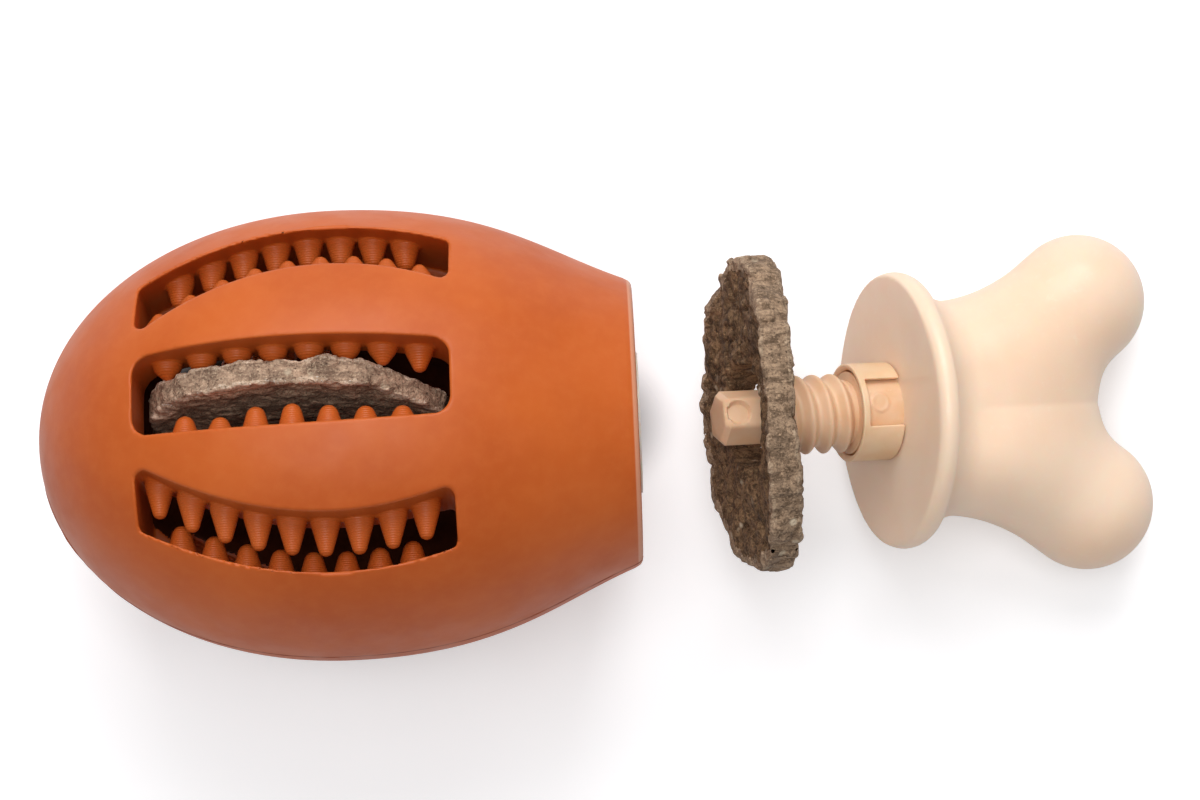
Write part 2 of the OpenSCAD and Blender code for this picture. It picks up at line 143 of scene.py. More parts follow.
# Teeth: cones between a ball at the wall and a smaller one at the tip
TOOTH_ROOT = 2.7
TOOTH_TIP = 1.35
TOOTH_DEEP = 8
TOOTH_BLEND = 0.3
TOOTH_INNER = 6.3
TOOTH_OUTER = 5.2
TOOTH_CENTRE = 6
TOOTH_SHORTEST = 3.1
TOOTH_HIDDEN = 3.7
TOOTH_SKIN = 0.12
HOLLOW_SKIN = 0.3
WIDE_TIP = 1.75
SIDE_PITCH = 5.85
SIDE_COUNTS = (8, 9)
SIDE_ROWS_LEFT = 0.9
CENTRE_PITCH = 6.4
CENTRE_COUNTS = (8, 7)
FRONT_LENGTHS = (4.7, 4.0, 5.4, 5.5, 4.8, 4.2, 3.8)

# Slice of treat: a bowed disc, a little longer and squarer than round
SLICE_R = 26.7
SLICE_X = 50.15
SLICE_UP = 9.75
SLICE_OFF = 2.2
SLICE_BOW = 4
SLICE_HALF = 2.5
SLICE_BACK = 0.7
SLICE_LEFT_BACK = 2.8
SLICE_LONGER = 1.2
SLICE_SQUARE = (2.8, 1.2)
SLICE_TAPER = 91
SLICE_ROUND = 0.9

# Ring of treat: bent towards the tip above and below
RING_AT = 24.4
RING_HALVES = (23, 30.2)
RING_HALF = 3.25
RING_HOLE = 9.9
RING_OUT = 1.4
RING_BENDS = (5.0, 1.0)
RING_LEAN = 1.0
RING_LUMPY = 1.35
RING_ROUND = 1.0
RING_HOLE_ROUND = 0.6

# Skin of both treats; a layer of noise is a height, a size and a shift
LUMPS = ((0.42, 5.2, 0), (0.3, 2.3, 7))
GRAINS = ((0.18, 1.1, 3), (0.12, 0.6, 11))
SLICE_RAGGED = ((0.7, 6.5, 0), (0.5, 2.8, 9))
RING_RAGGED = ((1.2, 8.5, 0), (0.8, 3.6, 9))
ZONE_RAGGED = ((0.8, 1.7, 5), (0.4, 0.8, 0))
FURROW_DEEP = 0.35
RIM_WIDE = 2.4
CREST_WIDE = 0.85

# Colours; a pair is two that take turns in patches, a treat's a pale and a dark one
SLICE_COLOURS = {"face": ((0.66, 0.44, 0.30), (0.27, 0.165, 0.105)),
                 "rim": ((0.62, 0.42, 0.29), (0.24, 0.15, 0.10)),
                 "crest": ((0.90, 0.68, 0.50), (0.45, 0.30, 0.20))}
RING_COLOURS = {"face": ((0.33, 0.20, 0.105), (0.066, 0.034, 0.015)),
                "rim": ((0.48, 0.325, 0.21), (0.16, 0.10, 0.06)),
                "crest": ((0.56, 0.40, 0.27), (0.25, 0.16, 0.10))}
FAT = (0.62, 0.50, 0.36)
RUBBER = ((0.585, 0.118, 0.016), (0.51, 0.092, 0.011))
RUBBER_SPOTS = (0.64, 0.165, 0.035)
# Painted shade: the teeth's rubber is mixed a little darker, as they stand in the slots' shade
RUBBER_TOOTH_SHADE = (0.46, 0.085, 0.010)
# Painted shade: the hollow's faces get a near black rubber, for the dark inside the slots
RUBBER_INSIDE_PAINTED_SHADE = ((0.10, 0.022, 0.006), (0.06, 0.012, 0.004))
SEAM_LINE = (0.16, 0.025, 0.008)
SEAM_FLASH = ((0.30, 0.055, 0.014), (0.45, 0.10, 0.03))
# Colour of the painted highlight round the mouth's lip
LIP_PAINTED_HIGHLIGHT = (0.80, 0.45, 0.30)
STUD_NYLON = (0.77, 0.51, 0.33)
COLLAR_NYLON = (0.82, 0.58, 0.38)
INSERT_NYLON = (0.94, 0.86, 0.77)
NYLON_WARMER = (0.95, 0.88, 0.78)
NYLON_DUST = (0.93, 0.80, 0.62)
BONE = ((0.97, 0.73, 0.55), (0.94, 0.67, 0.48))
BONE_PALE = (0.97, 0.80, 0.64)
FLOOR_WHITE = ((0.88, 0.88, 0.90), (0.86, 0.86, 0.88))
# Colour of the floor's painted shadow under the barrel
FLOOR_PAINTED_SHADOW = (0.012, 0.008, 0.006)

# Stud and collar
SHANK_R = 7.8
SHANK_TO = 8.3
DISC_AT = 4.6
DISC_RAISED = (0.22, 1.95, 1.75)
DISC_DISHED = (-0.15, 1.35, 1.2)
THREAD_MID_R = 6.8
THREAD_END_R = 6.0
THREAD_OFF = 0.7
THREAD_PITCH = 3.6
COLLAR_LEN = 8.6
COLLAR_OUT = 9.3
COLLAR_IN = 8.1
COLLAR_FROM = 0.3
COLLAR_RIM = 1.3
COLLAR_CHAMFER = 0.5
COLLAR_ROUND = 0.2
WINDOW_HALF = 4.5
WINDOW_ROUND = 0.3
HEX_FROM = 24.4
HEX_FLAT = 4.64
HEX_EDGE = 0.12
HEX_CHAMFER = 0.9
STUD_LEN = 34.4
STUD_TURN = math.radians(13)
DIMPLE_R = 2.25
DIMPLE_AT = STUD_LEN - 2.75
DIMPLE_DEEP = 1.0
DIMPLE_SOFT = 0.12
SHARP_ANGLE = math.radians(38)

# Bone handle
FLANGE_R = 25.8
RIM_R = 2
NECK_T = 13.2
NECK_W = 20.4
NECK_TO = 24
NECK_FLARE = 9
KNOB_AT = 40.8
KNOB_OFF = 19.6
KNOB_R = 12.9
MIDDLE_R = 12.2
MIDDLE_TO = 30.2
MIDDLE_BLEND = 4
LOBE_BLEND = 7


# Shaping

def rows(*columns):
    """Rows of numbers, from their columns."""
    return np.stack(np.broadcast_arrays(*columns), -1)


def columns(points):
    return np.moveaxis(points, -1, 0)


def smooth_step(low, high, value):
    t = np.clip((value - low) / (high - low), 0, 1)
    return t * t * (3 - 2 * t)


def round_both(a, b, radius):
    """Where both shapes overlap, with their common edge rounded."""
    beyond = np.hypot(np.maximum(a + radius, 0), np.maximum(b + radius, 0))
    return np.minimum(-radius, np.maximum(a, b)) + beyond


def round_either(a, b, radius):
    """Both shapes together, with a round fillet where they meet."""
    within = np.hypot(np.maximum(radius - a, 0), np.maximum(radius - b, 0))
    return np.maximum(radius, np.minimum(a, b)) - within


def blend_either(a, b, width):
    """Both shapes together, melted into each other over a width."""
    share = np.maximum(width - np.abs(a - b), 0) / width
    return np.minimum(a, b) - share * share * width / 4


def oval(x, y, half_x, half_y):
    """About the distance to an ellipse."""
    reach = np.hypot(x / half_x, y / half_y)
    slope = np.hypot(x / half_x ** 2, y / half_y ** 2)
    return (reach - 1) * reach / np.maximum(slope, 1e-6)


class Noise:
    """Smooth random values from -1 to 1, on a lattice that repeats."""
    CELLS = 32

    def __init__(self, seed):
        random = np.random.default_rng(seed)
        self.table = random.uniform(-1, 1, (self.CELLS, self.CELLS, self.CELLS))

    def __call__(self, points, size):
        places = points / size
        cells = np.floor(places).astype(int)
        share = places - cells
        share = share * share * (3 - 2 * share)
        total = 0
        for corner in np.ndindex(2, 2, 2):
            weight = np.where(corner, share, 1 - share).prod(-1)
            x, y, z = columns((cells + corner) % self.CELLS)
            total = total + weight * self.table[x, y, z]
        return total

    def layers(self, points, layers):
        """Sum of layers, each a height, a size and a shift that sets it apart."""
        return sum(height * self(points + shift, size) for height, size, shift in layers)


class Outline:
    """Distance to a closed outline in a plane, sampled once on a grid and then interpolated."""
    STEP = 0.25

    def __init__(self, points, low, high):
        self.low = np.array(low, float)
        counts = np.ceil((np.array(high) - self.low) / self.STEP).astype(int) + 1
        x = (self.low[0] + self.STEP * np.arange(counts[0]))[:, None]
        y = (self.low[1] + self.STEP * np.arange(counts[1]))[None, :]
        nearest = np.full(counts, np.inf)
        inside = np.zeros(counts, bool)
        for (ax, ay), (bx, by) in zip(points, np.roll(points, -1, 0)):
            run, rise = bx - ax, by - ay
            t = ((x - ax) * run + (y - ay) * rise) / max(run ** 2 + rise ** 2, 1e-12)
            t = np.clip(t, 0, 1)
            nearest = np.minimum(nearest, np.hypot(x - ax - t * run, y - ay - t * rise))
            if rise:
                inside ^= ((ay > y) != (by > y)) & (x < run * (y - ay) / rise + ax)
        self.values = np.where(inside, -nearest, nearest)

    def __call__(self, x, y):
        gx = np.clip((x - self.low[0]) / self.STEP, 0, self.values.shape[0] - 1.001)
        gy = np.clip((y - self.low[1]) / self.STEP, 0, self.values.shape[1] - 1.001)
        ix, iy = gx.astype(int), gy.astype(int)
        tx, ty = gx - ix, gy - iy
        near = self.values[ix, iy] * (1 - tx) + self.values[ix + 1, iy] * tx
        far = self.values[ix, iy + 1] * (1 - tx) + self.values[ix + 1, iy + 1] * tx
        return near * (1 - ty) + far * ty


def lattice(counts):
    return rows(*np.meshgrid(*map(np.arange, counts), indexing="ij"))


def surface_net(field, low, high, step, block=6):
    """Points and quads where a field is zero: a point in every cell that its surface crosses.

    Only blocks of cells whose middles are near the surface are looked through."""
    low = np.array(low, float)
    counts = np.ceil((np.array(high) - low) / (step * block)).astype(int)
    blocks = lattice(counts).reshape(-1, 3) * block
    blocks = blocks[np.abs(field(low + (blocks + block / 2) * step)) < 1.1 * step * block]
    index = blocks[:, None, None, None, :] + lattice([block + 1] * 3)
    value = field(low + index * step)
    near, near_index = value[:, :-1, :-1, :-1], index[:, :-1, :-1, :-1]
    size = counts * block + 2
    whole = AXES.astype(int)
    spots, cells = [], []
    for axis in range(3):
        ahead = tuple(slice(1, None) if k == axis else slice(None, -1) for k in range(3))
        far = value[(slice(None),) + ahead]
        crossed = (near < 0) != (far < 0)
        at, a, b = near_index[crossed], near[crossed], far[crossed]
        spot = at + AXES[axis] * (a / (a - b))[:, None]
        side, other = whole[(axis + 1) % 3], whole[(axis + 2) % 3]
        around = np.stack([at + 1, at + 1 - side, at + 1 - side - other, at + 1 - other], 1)
        around = (around[..., 0] * size[1] + around[..., 1]) * size[2] + around[..., 2]
        around[a > 0] = around[a > 0][:, ::-1]
        spots.append(np.repeat(spot, 4, 0))
        cells.append(around.reshape(-1))
    spots, cells = np.concatenate(spots), np.concatenate(cells)
    _, point_of = np.unique(cells, return_inverse=True)
    point_of = point_of.reshape(-1)
    share = np.bincount(point_of)
    points = rows(*[np.bincount(point_of, column) / share for column in spots.T])
    return low + points * step, point_of.reshape(-1, 4)


def settle(field, points, step):
    """Moves the points onto the surface itself, by less than a step."""
    reach = 0.1 * step
    for _ in range(2):
        slope = [field(points + reach * axis) - field(points - reach * axis) for axis in AXES]
        slope = rows(*slope) / (2 * reach)
        move = -(field(points) / np.maximum((slope ** 2).sum(-1), 0.3))[:, None] * slope
        length = np.linalg.norm(move, axis=-1, keepdims=True)
        points = points + move * np.minimum(1, 0.5 * step / np.maximum(length, 1e-9))
    return points


def add_mesh(name, points, faces):
    """A smooth mesh object from points in millimetres of the whole toy's frame."""
    faces = np.asarray(faces)
    sides = faces.shape[1]
    mesh = bpy.data.meshes.new(name)
    mesh.vertices.add(len(points))
    mesh.vertices.foreach_set("co", (np.asarray(points) * MM).astype(np.float32).ravel())
    mesh.loops.add(faces.size)
    mesh.loops.foreach_set("vertex_index", faces.ravel().astype(np.int32))
    mesh.polygons.add(len(faces))
    mesh.polygons.foreach_set("loop_start", np.arange(0, faces.size, sides, dtype=np.int32))
    mesh.update(calc_edges=True)
    mesh.validate()
    mesh.shade_smooth()
    piece = bpy.data.objects.new(name, mesh)
    bpy.context.scene.collection.objects.link(piece)
    return piece


def add_shape(name, field, low, high, steps, origin, axes):
    """Meshes a field that is given in one piece's own frame."""
    step = steps[1]
    points, quads = surface_net(field, low, high, step)
    points = settle(field, points, step)
    return add_mesh(name, origin + points @ axes, quads), points[quads].mean(1)


def dress(piece, finishes, index=None):
    """Gives a piece its finishes, and each of its faces the one that index names."""
    for finish in finishes:
        piece.data.materials.append(finish)
    if index is not None:
        piece.data.polygons.foreach_set("material_index", index.astype(np.int32))


# Rubber shell

def bezier(a, b, c, d, t):
    return (1 - t) ** 3 * a + 3 * t * (1 - t) ** 2 * b + 3 * t * t * (1 - t) * c + t ** 3 * d


def shell_outline():
    """Outer outline as rows of distance from the closed end and radius."""
    turn = np.radians(np.arange(0, 90, 1.5))
    left = rows(BELLY_AT * (1 - np.cos(turn) ** BELLY_POWER), SHELL_R * np.sin(turn) ** BELLY_POWER)
    t = np.linspace(0, 1, 61)
    ends = (BELLY_AT, BELLY_AT + BELLY_REACH, SHELL_LEN - MOUTH_REACH, SHELL_LEN - LIP_R)
    radii = (SHELL_R, SHELL_R, MOUTH_R + MOUTH_FLARE, MOUTH_R + 0.2)
    right = rows(bezier(*ends, t), bezier(*radii, t))
    lip = np.radians(np.arange(15, 91, 15))
    mouth = rows(SHELL_LEN - LIP_R + LIP_R * np.sin(lip), MOUTH_R - LIP_R + LIP_R * np.cos(lip))
    return np.concatenate([left, right, mouth])


def hollow_outline():
    """Outline of the hollow and of the pocket that the insert fills."""
    end = SHELL_LEN - POCKET_DEEP
    radius = SHELL_R - WALL
    far = (end - BELLY_AT) / math.sqrt(1 - (POCKET_END_R / radius) ** 2)
    turn = np.radians(np.arange(0, 90, 3))
    left = rows(BELLY_AT - (BELLY_AT - END_WALL) * np.cos(turn), radius * np.sin(turn))
    x = np.linspace(BELLY_AT, end, 40)
    right = rows(x, radius * np.sqrt(1 - ((x - BELLY_AT) / far) ** 2))
    return np.concatenate([left, right, [[end, POCKET_R], [SHELL_LEN + 3, POCKET_R]]])


def mirrored(points):
    """Closes an outline over its axis, so that the axis is no edge."""
    return np.concatenate([points, points[::-1] * (1, -1)])


def along_slot(u, near, middle, far):
    """A curve through its values at the slot's two ends and in its middle."""
    t = (u - SLOT_FROM) / (SLOT_TO - SLOT_FROM)
    return near * (1 - t) * (1 - 2 * t) + middle * 4 * t * (1 - t) + far * t * (2 * t - 1)


def centre_edge(u):
    return along_slot(u, *CENTRE_HALF)


def side_wall(u, out):
    """A side slot's wall, at a distance from the slot's middle line."""
    slope = along_slot(u + 0.5, *SIDE_LINE) - along_slot(u - 0.5, *SIDE_LINE)
    return along_slot(u, *SIDE_LINE) + out * np.sqrt(1 + slope ** 2)


def inner_wall(u):
    return side_wall(u, -SIDE_HALF)


def outer_wall(u):
    return side_wall(u, SIDE_HALF)


def rounded(points, radii, steps=8):
    """An outline's points, with an arc of the given radius at each one that has a radius."""
    result = []
    for i, radius in enumerate(radii):
        corner = points[i]
        if radius == 0:
            result.append(corner)
            continue
        before, after = points[i - 1] - corner, points[(i + 1) % len(points)] - corner
        before, after = before / np.linalg.norm(before), after / np.linalg.norm(after)
        half = math.acos(before @ after) / 2
        inward = (before + after) / np.linalg.norm(before + after)
        middle = corner + inward * radius / math.sin(half)
        first = corner + before * radius / math.tan(half) - middle
        last = corner + after * radius / math.tan(half) - middle
        for k in range(steps + 1):
            way = first * (steps - k) + last * k
            result.append(middle + radius * way / np.linalg.norm(way))
    return np.array(result)


def slot_outline(lower, upper, corner):
    u = np.linspace(SLOT_FROM, SLOT_TO, 25)
    points = np.concatenate([rows(u, lower(u)), rows(u, upper(u))[::-1]])
    radii = np.zeros(len(points))
    radii[[0, len(u) - 1, len(u), -1]] = corner
    return rounded(points, radii)


def sampled(points, high):
    return Outline(points, (-3, 0), (SHELL_LEN + 3, high))


OUTER_POINTS = shell_outline()
OUTER = sampled(mirrored(OUTER_POINTS), 48)
HOLLOW = sampled(mirrored(hollow_outline()), 48)
CENTRE_SLOT = sampled(slot_outline(lambda u: -centre_edge(u), centre_edge, CENTRE_CORNER), 45)
SIDE_SLOT = sampled(slot_outline(inner_wall, outer_wall, SIDE_CORNER), 45)


def slice_middle(u):
    """Place across the slot of the slice's middle surface, bowed and less so to the left."""
    bend = (SLICE_R ** 2 + SLICE_BOW ** 2) / (2 * SLICE_BOW)
    bow = SLICE_OFF - bend + np.sqrt(np.maximum(bend ** 2 - (u - SLICE_X) ** 2, 1))
    return bow + SLICE_BACK + SLICE_LEFT_BACK * (np.minimum(u - SLICE_X, 0) / SLICE_R) ** 2


class Row:
    """Teeth in a row on one wall; out says which way across the slot they point."""

    def __init__(self, count, pitch, wall, out, length, left, tip):
        middle = (SLOT_FROM + SLOT_TO) / 2 - left
        self.pitch = pitch
        self.u = middle + (np.arange(count) - (count - 1) / 2) * pitch
        self.wall = wall(self.u)
        outer = np.interp(self.u, *OUTER_POINTS.T)
        self.d = np.sqrt(outer ** 2 - self.wall ** 2) - TOOTH_DEEP
        self.out = out
        self.tip = tip
        self.cone = np.broadcast_to(length, self.u.shape) - tip

    def __call__(self, u, across, depth):
        """Distance to the nearest tooth, which is a cone between two balls."""
        i = np.clip(np.rint((u - self.u[0]) / self.pitch), 0, len(self.u) - 1).astype(int)
        away = np.hypot(u - self.u[i], depth - self.d[i])
        along = (across - self.wall[i]) * self.out
        cone = self.cone[i]
        lean = (TOOTH_ROOT - self.tip) / cone
        upright = np.sqrt(1 - lean ** 2)
        part = along * upright - away * lean
        side = away * upright + along * lean - TOOTH_ROOT
        tip = np.hypot(away, along - cone) - self.tip
        root = np.hypot(away, along) - TOOTH_ROOT
        return np.where(part < 0, root, np.where(part > cone * upright, tip, side))


def centre_row(out, length=TOOTH_CENTRE, tip=TOOTH_TIP):
    count = CENTRE_COUNTS[0] if out < 0 else CENTRE_COUNTS[1]
    return Row(count, CENTRE_PITCH, lambda u: -out * centre_edge(u), out, length, 0, tip)


def top_back_row():
    """The back row's teeth, which stop just inside the slice's rough skin."""
    u = centre_row(-1).u
    free = centre_edge(u) - slice_middle(u) - SLICE_HALF + 0.2
    return centre_row(-1, np.clip(free, TOOTH_SHORTEST, TOOTH_CENTRE))


def side_row(out, length, tip=TOOTH_TIP):
    count, wall = (SIDE_COUNTS[0], outer_wall) if out < 0 else (SIDE_COUNTS[1], inner_wall)
    return Row(count, SIDE_PITCH, wall, out, length, SIDE_ROWS_LEFT, tip)


OUTER_ROW = side_row(-1, TOOTH_OUTER, WIDE_TIP)
INNER_ROW = side_row(1, TOOTH_INNER)
SHORT_ROW = side_row(1, TOOTH_HIDDEN)
TOP_ROWS = [top_back_row(), centre_row(1, FRONT_LENGTHS, WIDE_TIP)]
BASE_ROWS = [centre_row(-1), centre_row(1)]


def teeth_field(points):
    u, e, d = columns(points)
    aside, deep = np.abs(e), np.abs(d)
    inner = np.where(e * d < 0, INNER_ROW(u, aside, deep), SHORT_ROW(u, aside, deep))
    side = np.minimum(OUTER_ROW(u, aside, deep), inner)
    top = np.minimum(*[row(u, e, d) for row in TOP_ROWS])
    base = np.minimum(*[row(u, e, -d) for row in BASE_ROWS])
    return np.minimum(side, np.minimum(top, base))


def shell_field(points):
    u, e, d = columns(points)
    radius = np.hypot(e, d)
    walls = np.maximum(OUTER(u, radius), -HOLLOW(u, radius))
    slots = np.minimum(CENTRE_SLOT(u, np.abs(e)), SIDE_SLOT(u, np.abs(e)))
    slots = np.maximum(slots, SLOT_FLOOR - np.abs(d))
    return round_either(round_both(walls, -slots, SLOT_EDGE), teeth_field(points), TOOTH_BLEND)


def add_shell():
    low = (-1.2, -SHELL_R - 1.5, -SHELL_R - 1.5)
    high = (SHELL_LEN + 1.5, SHELL_R + 2, SHELL_R + 2)
    piece, middles = add_shape("shell_skin", shell_field, low, high, SHELL_STEPS,
                               SHELL_FROM, SHELL_AXES)
    is_tooth = teeth_field(middles) < TOOTH_SKIN
    # Faces on the hollow get the painted shade of the dark inside
    in_hollow_painted_shade = HOLLOW(middles[:, 0], np.hypot(middles[:, 1], middles[:, 2])) < HOLLOW_SKIN
    dress(piece, [rubber_material(), tooth_material(), hollow_painted_shade_material()],
          np.where(is_tooth, 1, np.where(in_hollow_painted_shade, 2, 0)))
    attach(piece, "shell")
    groups = [f"teeth_{level}_{place}"
              for level in ("top", "base") for place in ("centre", "front", "back")]
    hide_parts(*LENGTHS, *groups)


def add_seam():
    """A thin uneven bead of flash where the two halves of the mould met."""
    noise = Noise(SEAM_SEED)
    outline = OUTER_POINTS[2:]
    length = np.concatenate([[0], np.cumsum(np.linalg.norm(np.diff(outline, axis=0), axis=1))])
    along = np.arange(0, length[-1], 0.5)
    line = rows(*[np.interp(along, length, column) for column in outline.T])
    line = np.concatenate([line[::-1] * (1, -1), line])
    way = np.gradient(line, axis=0)
    way /= np.linalg.norm(way, axis=1, keepdims=True)
    outward = rows(-way[:, 1], way[:, 0])
    height = SEAM_HIGH + SEAM_UNEVEN * noise(np.pad(line, ((0, 0), (0, 1))), 2.2)
    height += SEAM_TAIL * smooth_step(9, 2, line[:, 0]) * smooth_step(1, -3, line[:, 1])
    height = np.minimum(height, np.maximum(line[:, 0] * 2, 0.02))
    rings = []
    for turn in np.radians(np.linspace(0, 180, 7)):
        raised = line + (height * math.sin(turn) - SEAM_SUNK)[:, None] * outward
        rings.append(rows(*columns(raised), SEAM_HALF * math.cos(turn)))
    points = np.stack(rings, 1)
    index = np.arange(points[..., 0].size).reshape(points.shape[:2])
    quads = rows(index[:-1, :-1], index[1:, :-1], index[1:, 1:], index[:-1, 1:]).reshape(-1, 4)
    piece = add_mesh("parting_line", SHELL_FROM + points.reshape(-1, 3) @ SHELL_AXES, quads)
    dress(piece, [seam_material()])
    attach(piece, "shell")


# Treats

def roughness_of_treat(points, noise, lumpy=1.0):
    """Lumps, furrows and grains, which take a little more away than they add."""
    furrows = np.maximum(FURROW_DEEP - np.abs(noise(points + 19, 2.9)), 0)
    lumps = noise.layers(points, LUMPS) + furrows
    return 0.1 + lumpy * lumps + noise.layers(points, GRAINS)


def dress_treat(piece, middles, edge, broad, noise, name, colours):
    """Gives faces, rim and the crest between them their own finishes, with ragged borders.

    edge and broad are the distances of the mesh's faces beyond the rim and the broad faces."""
    rough = noise.layers(middles, ZONE_RAGGED)
    on_rim = -edge < RIM_WIDE + rough
    on_edge = broad > -CREST_WIDE + 0.6 * rough
    finishes = [treat_material(f"{name}_{zone}", pair) for zone, pair in colours.items()]
    dress(piece, finishes, np.where(on_rim, np.where(on_edge, 2, 1), 0))


def add_slice():
    noise = Noise(SLICE_SEED)

    def edge_and_broad(points):
        u, e, d = columns(points)
        x, z = u - SLICE_X, d - SLICE_UP
        turn = np.arctan2(z, x)
        edge = rows(np.cos(turn), np.sin(turn), 0) * SLICE_R
        ragged = noise.layers(edge, SLICE_RAGGED) - SLICE_LONGER * np.abs(np.cos(turn)) ** 3
        squarer = np.where(x < 0, *SLICE_SQUARE) * np.where(z > 0, np.sin(2 * turn) ** 2, 0)
        broad = np.abs(e - slice_middle(u)) * np.cos(x / SLICE_TAPER) - SLICE_HALF
        return np.hypot(x, z) - SLICE_R + ragged - squarer, broad

    def field(points):
        return round_both(*edge_and_broad(points), SLICE_ROUND) + roughness_of_treat(points, noise)

    low = (SLICE_X - SLICE_R - 3, -6, SLICE_UP - SLICE_R - 1.5)
    high = (SLICE_X + SLICE_R + 3, 7.5, SLICE_UP + SLICE_R + 1.5)
    piece, middles = add_shape("slice_of_treat", field, low, high, SLICE_STEPS,
                               SHELL_FROM, SHELL_AXES)
    dress_treat(piece, middles, *edge_and_broad(middles), noise, "slice", SLICE_COLOURS)
    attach(piece, "slice")
    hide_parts("treat_slice")


def add_ring():
    noise = Noise(RING_SEED)
    half_x, half_y = RING_HALVES

    def edge_and_broad(points):
        x, y, w = columns(points)
        bend = np.where(x > 0, *RING_BENDS) * (x / half_x) ** 2 + RING_LEAN * y / half_y
        turn = np.arctan2(y / half_y, x / half_x)
        edge = rows(np.cos(turn), np.sin(turn), 0) * half_y
        ragged = 0.6 + noise.layers(edge, RING_RAGGED)
        broad = np.abs(w - RING_AT - RING_OUT - bend) - RING_HALF
        return oval(x, y, half_x, half_y) + np.maximum(ragged, 0), broad

    def field(points):
        hole = RING_HOLE - np.hypot(points[..., 0], points[..., 1])
        solid = round_both(*edge_and_broad(points), RING_ROUND)
        solid = round_both(solid, hole, RING_HOLE_ROUND)
        return solid + roughness_of_treat(points, noise, RING_LUMPY)

    low = (-half_x - 1, -half_y - 1, RING_AT - 5)
    high = (half_x + 1, half_y + 1, RING_AT + 10.5)
    piece, middles = add_shape("ring_of_treat", field, low, high, RING_STEPS,
                               HANDLE_FROM, HANDLE_AXES)
    dress_treat(piece, middles, *edge_and_broad(middles), noise, "ring", RING_COLOURS)
    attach(piece, "ring")
    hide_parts("treat_ring")
    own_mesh(piece)


# Stud, collar and handle

def stud_radius(turn, w):
    """Radius of the stud at an angle about its axis and a distance from the flange's face."""
    lead = turn - 2 * math.pi * w / THREAD_PITCH
    thread = np.sqrt(THREAD_MID_R ** 2 - (THREAD_OFF * np.sin(lead)) ** 2)
    thread = thread + THREAD_OFF * np.cos(lead)
    ease = smooth_step(COLLAR_LEN, COLLAR_LEN + 1, w) * smooth_step(HEX_FROM, HEX_FROM - 1, w)
    thread = thread * ease + THREAD_END_R * (1 - ease)
    flat = (turn - STUD_TURN + math.pi / 6) % (math.pi / 3) - math.pi / 6
    hexagon = HEX_FLAT / np.cos(flat) - HEX_EDGE * smooth_step(0.42, 0.52, np.abs(flat))
    hexagon = hexagon - np.maximum(HEX_CHAMFER - (STUD_LEN - w), 0)
    facing = (turn - STUD_TURN + math.pi) % (2 * math.pi) - math.pi
    off_dimple = np.hypot(HEX_FLAT * np.tan(np.clip(facing, -1, 1)), w - DIMPLE_AT)
    dimple = smooth_step(DIMPLE_R + DIMPLE_SOFT, DIMPLE_R - DIMPLE_SOFT, off_dimple)
    hexagon = hexagon - DIMPLE_DEEP * dimple
    opposite = np.minimum(np.abs(facing), math.pi - np.abs(facing))
    off_disc = np.hypot(SHANK_R * opposite, w - DISC_AT)
    shank = SHANK_R + sum(height * smooth_step(outer, inner, off_disc)
                          for height, outer, inner in (DISC_RAISED, DISC_DISHED))
    return np.where(w < SHANK_TO, shank, np.where(w < HEX_FROM, thread, hexagon))


def add_stud():
    w = np.concatenate([np.arange(0, SHANK_TO, 0.25), [SHANK_TO - 0.001, SHANK_TO + 0.001],
                        np.arange(COLLAR_LEN, HEX_FROM, 0.15), [HEX_FROM - 0.001, HEX_FROM + 0.001],
                        np.arange(HEX_FROM + 0.2, STUD_LEN - HEX_CHAMFER, 0.2),
                        [STUD_LEN - HEX_CHAMFER, STUD_LEN - HEX_CHAMFER / 2, STUD_LEN - 0.05]])
    turn = np.radians(np.arange(0, 360, 2))
    radius = stud_radius(turn[None, :], w[:, None])
    cap = radius[-1] * np.array([[0.97], [0.6], [0.25], [0.01]])
    radius = np.concatenate([radius, cap])
    w = np.concatenate([w, np.full(len(cap), STUD_LEN)])
    points = rows(radius * np.cos(turn), radius * np.sin(turn), w[:, None])
    index = np.arange(radius.size).reshape(radius.shape)
    beside = np.roll(index, -1, 1)
    quads = rows(index[:-1], beside[:-1], beside[1:], index[1:]).reshape(-1, 4)
    piece = add_mesh("stud", HANDLE_FROM + points.reshape(-1, 3) @ HANDLE_AXES, quads)
    piece.data.set_sharp_from_angle(angle=SHARP_ANGLE)
    dress(piece, [nylon_material("stud_finish", STUD_NYLON)])
    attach(piece, "handle")
    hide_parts("threaded_stud")


def collar_field(points):
    """A sleeve with a window on each side, and a chamfer inside its outer end."""
    x, y, w = columns(points)
    across = y * math.cos(STUD_TURN) - x * math.sin(STUD_TURN)
    radius = np.hypot(x, y)
    chamfer = (w - COLLAR_LEN + COLLAR_CHAMFER - (radius - COLLAR_IN)) * 0.7
    wall = np.maximum(np.maximum(radius - COLLAR_OUT, COLLAR_IN - radius), chamfer)
    ends = np.maximum(w - COLLAR_LEN, COLLAR_FROM - w)
    window = round_both(np.abs(across) - WINDOW_HALF, w - COLLAR_LEN + COLLAR_RIM, WINDOW_ROUND)
    return round_both(round_both(wall, ends, COLLAR_ROUND), -window, COLLAR_ROUND)


def add_collar():
    reach = COLLAR_OUT + 0.8
    low, high = (-reach, -reach, -0.6), (reach, reach, COLLAR_LEN + 0.8)
    piece, _ = add_shape("collar", collar_field, low, high, COLLAR_STEPS, HANDLE_FROM, HANDLE_AXES)
    dress(piece, [nylon_material("collar_finish", COLLAR_NYLON)])
    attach(piece, "collar")
    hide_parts("stud_collar")


